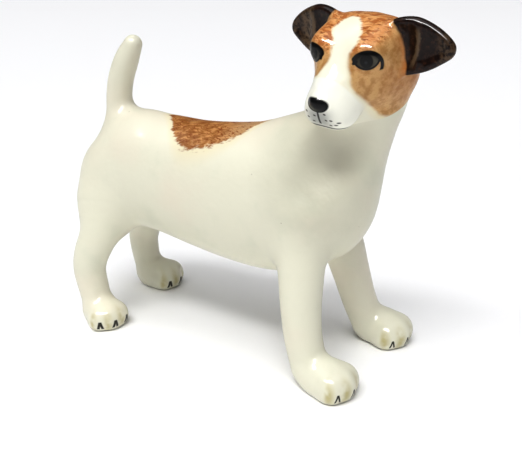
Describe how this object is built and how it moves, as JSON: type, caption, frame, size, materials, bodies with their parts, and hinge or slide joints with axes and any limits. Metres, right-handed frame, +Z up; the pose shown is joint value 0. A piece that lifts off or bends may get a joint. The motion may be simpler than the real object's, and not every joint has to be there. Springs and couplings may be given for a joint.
{
  "type": "ceramic dog figurine",
  "caption": "Glossy hand-painted standing terrier figurine with tan face patches, dark ears and an upright tail; stands free on its paws as a shelf ornament.",
  "frame": {"origin": "centre of the bounding box on the surface that the paws stand on", "axes": "+X from tail to chest along the body, +Y towards the dog's left side, +Z up; the head is turned towards -Y"},
  "size_m": [0.1561, 0.0634, 0.1295],
  "materials": {
    "body_glaze": "gloss",
    "face_glaze": "gloss",
    "ear_glaze": "gloss"
  },
  "bodies": {
    "root": {"torso": "body_glaze", "head": "face_glaze", "ear_left": "ear_glaze", "ear_right": "ear_glaze", "tail": "body_glaze", "foreleg_left": "body_glaze", "foreleg_right": "body_glaze", "hind_leg_left": "body_glaze", "hind_leg_right": "body_glaze"}
  },
  "joints": []
}
